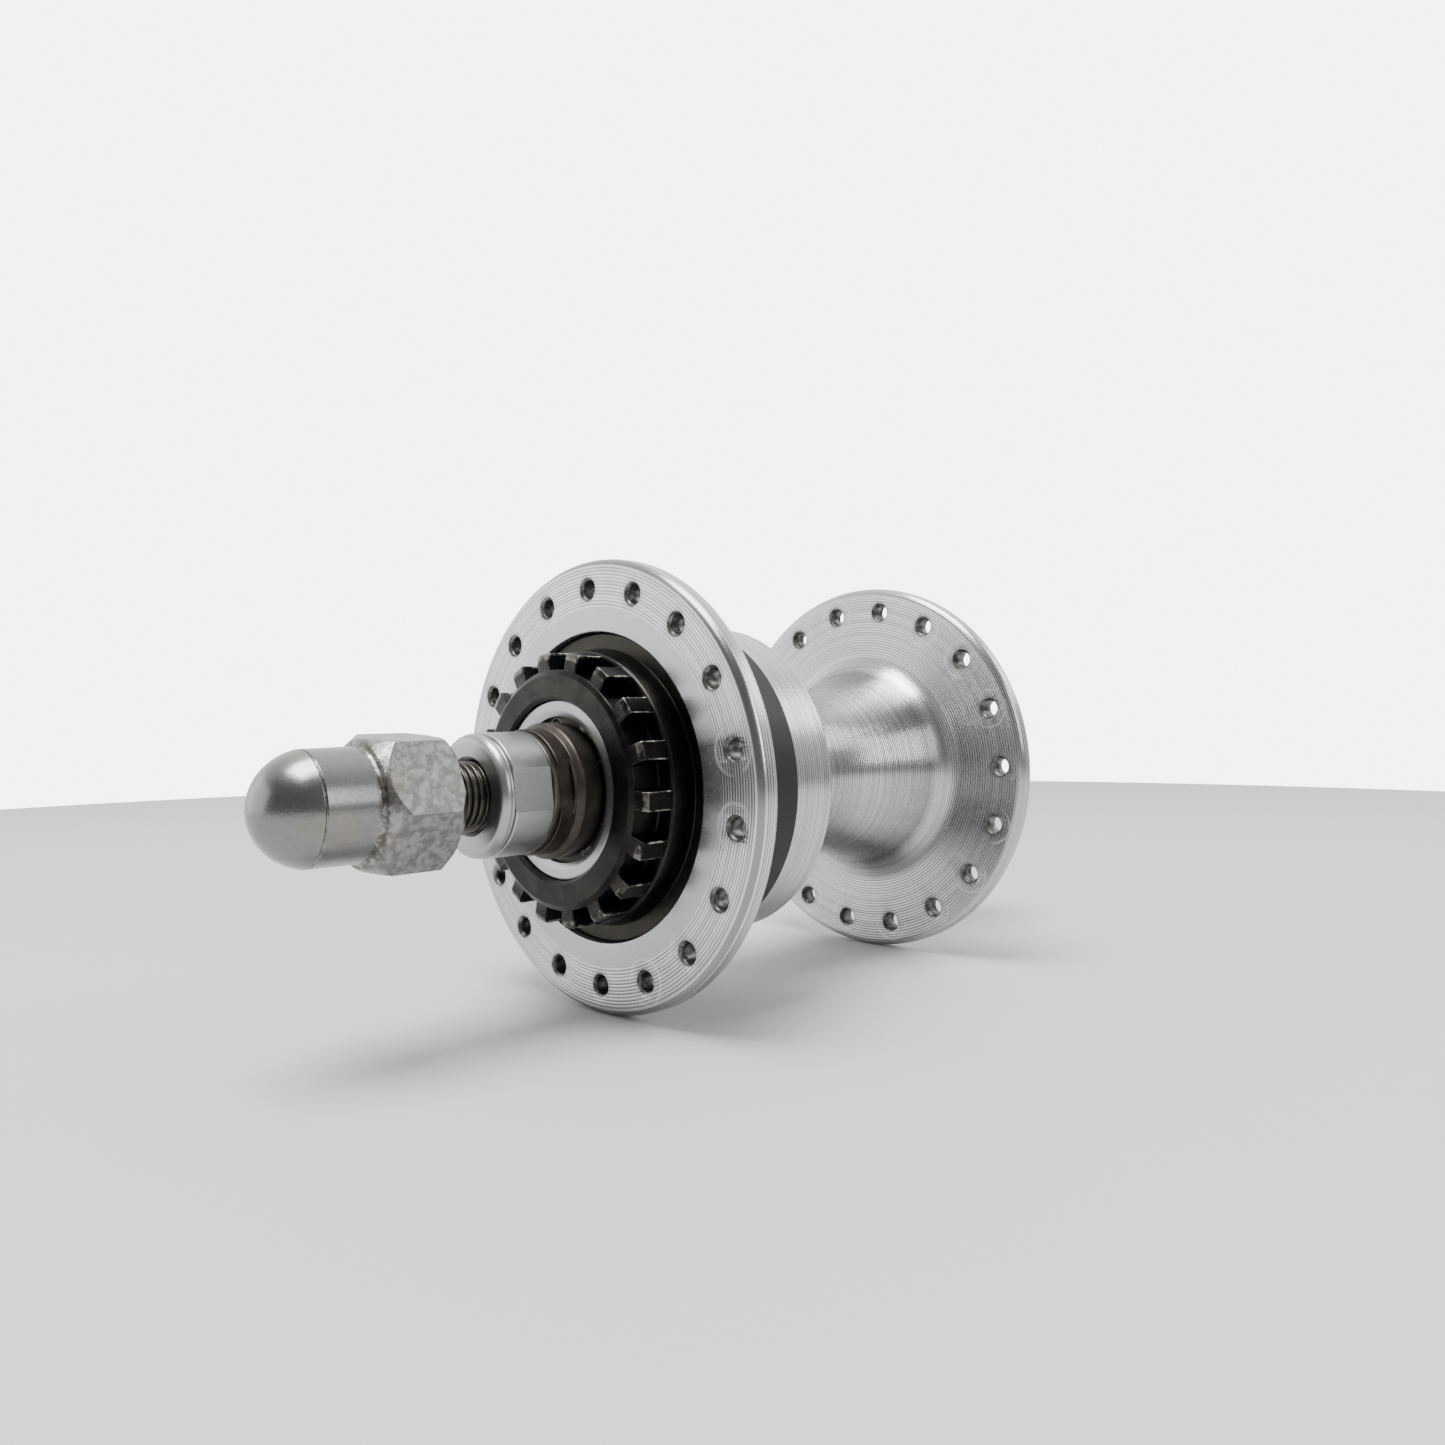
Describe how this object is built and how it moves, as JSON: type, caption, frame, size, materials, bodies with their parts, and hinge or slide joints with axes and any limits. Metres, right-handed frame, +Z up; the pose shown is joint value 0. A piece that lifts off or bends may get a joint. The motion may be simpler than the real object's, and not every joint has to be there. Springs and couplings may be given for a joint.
{
  "type": "front bicycle hub",
  "caption": "High-flange front bicycle hub with drilled spoke flanges, a splined steel boss for a roller brake, cup-and-cone bearings and a solid axle with closed domed nuts.",
  "frame": {"origin": "on the axle's line, midway between the two lock nut faces that the fork clamps", "axes": "+Y along the axle towards the plain end, -Y towards the brake end, +Z up"},
  "size_m": [0.0666, 0.1578, 0.0666],
  "materials": {
    "turned_aluminium": "turned and polished",
    "band_black": "satin black print",
    "black_steel": "black oxide",
    "axle_steel": "dark threaded steel",
    "bearing_steel": "ground, dark with grease",
    "retainer_steel": "pressed sheet",
    "cone_steel": "dark oiled steel",
    "cap_zinc": "zinc plated",
    "washer_steel": "plated",
    "lock_nut_nickel": "turned and plated",
    "dome_nut_zinc": "bright zinc, handled"
  },
  "bodies": {
    "axle_set": {"axle": "axle_steel", "left_cone": "cone_steel", "left_washer": "washer_steel", "left_lock_nut": "lock_nut_nickel", "right_cone": "cone_steel", "right_washer": "washer_steel", "right_lock_nut": "lock_nut_nickel"},
    "hub": {"hub_shell": "turned_aluminium", "drum_band": "band_black", "brake_boss": "black_steel", "left_bearing_cup": "bearing_steel", "left_dust_cap": "cap_zinc", "right_bearing_cup": "bearing_steel", "right_dust_cap": "cap_zinc"},
    "left_balls": {"left_bearing_balls": "bearing_steel", "left_ball_retainer": "retainer_steel"},
    "right_balls": {"right_bearing_balls": "bearing_steel", "right_ball_retainer": "retainer_steel"},
    "left_nut": {"left_dome_nut": "dome_nut_zinc"},
    "right_nut": {"right_dome_nut": "dome_nut_zinc"}
  },
  "joints": [
    {"name": "hub_spin", "type": "hinge", "parent": "axle_set", "child": "hub", "pos_m": [0, 0, 0], "axis": [0, 1, 0], "continuous": true},
    {"name": "left_balls_roll", "type": "hinge", "parent": "axle_set", "child": "left_balls", "pos_m": [0, 0, 0], "axis": [0, 1, 0], "continuous": true},
    {"name": "right_balls_roll", "type": "hinge", "parent": "axle_set", "child": "right_balls", "pos_m": [0, 0, 0], "axis": [0, 1, 0], "continuous": true},
    {"name": "left_nut_off", "type": "slide", "parent": "axle_set", "child": "left_nut", "axis": [0, -1, 0], "range_m": [0, 0.018]},
    {"name": "right_nut_off", "type": "slide", "parent": "axle_set", "child": "right_nut", "axis": [0, 1, 0], "range_m": [0, 0.018]}
  ],
  "couplings": [
    {"joint": "left_balls_roll", "follows": "hub_spin", "ratio": 0.5935},
    {"joint": "right_balls_roll", "follows": "hub_spin", "ratio": 0.5935}
  ]
}
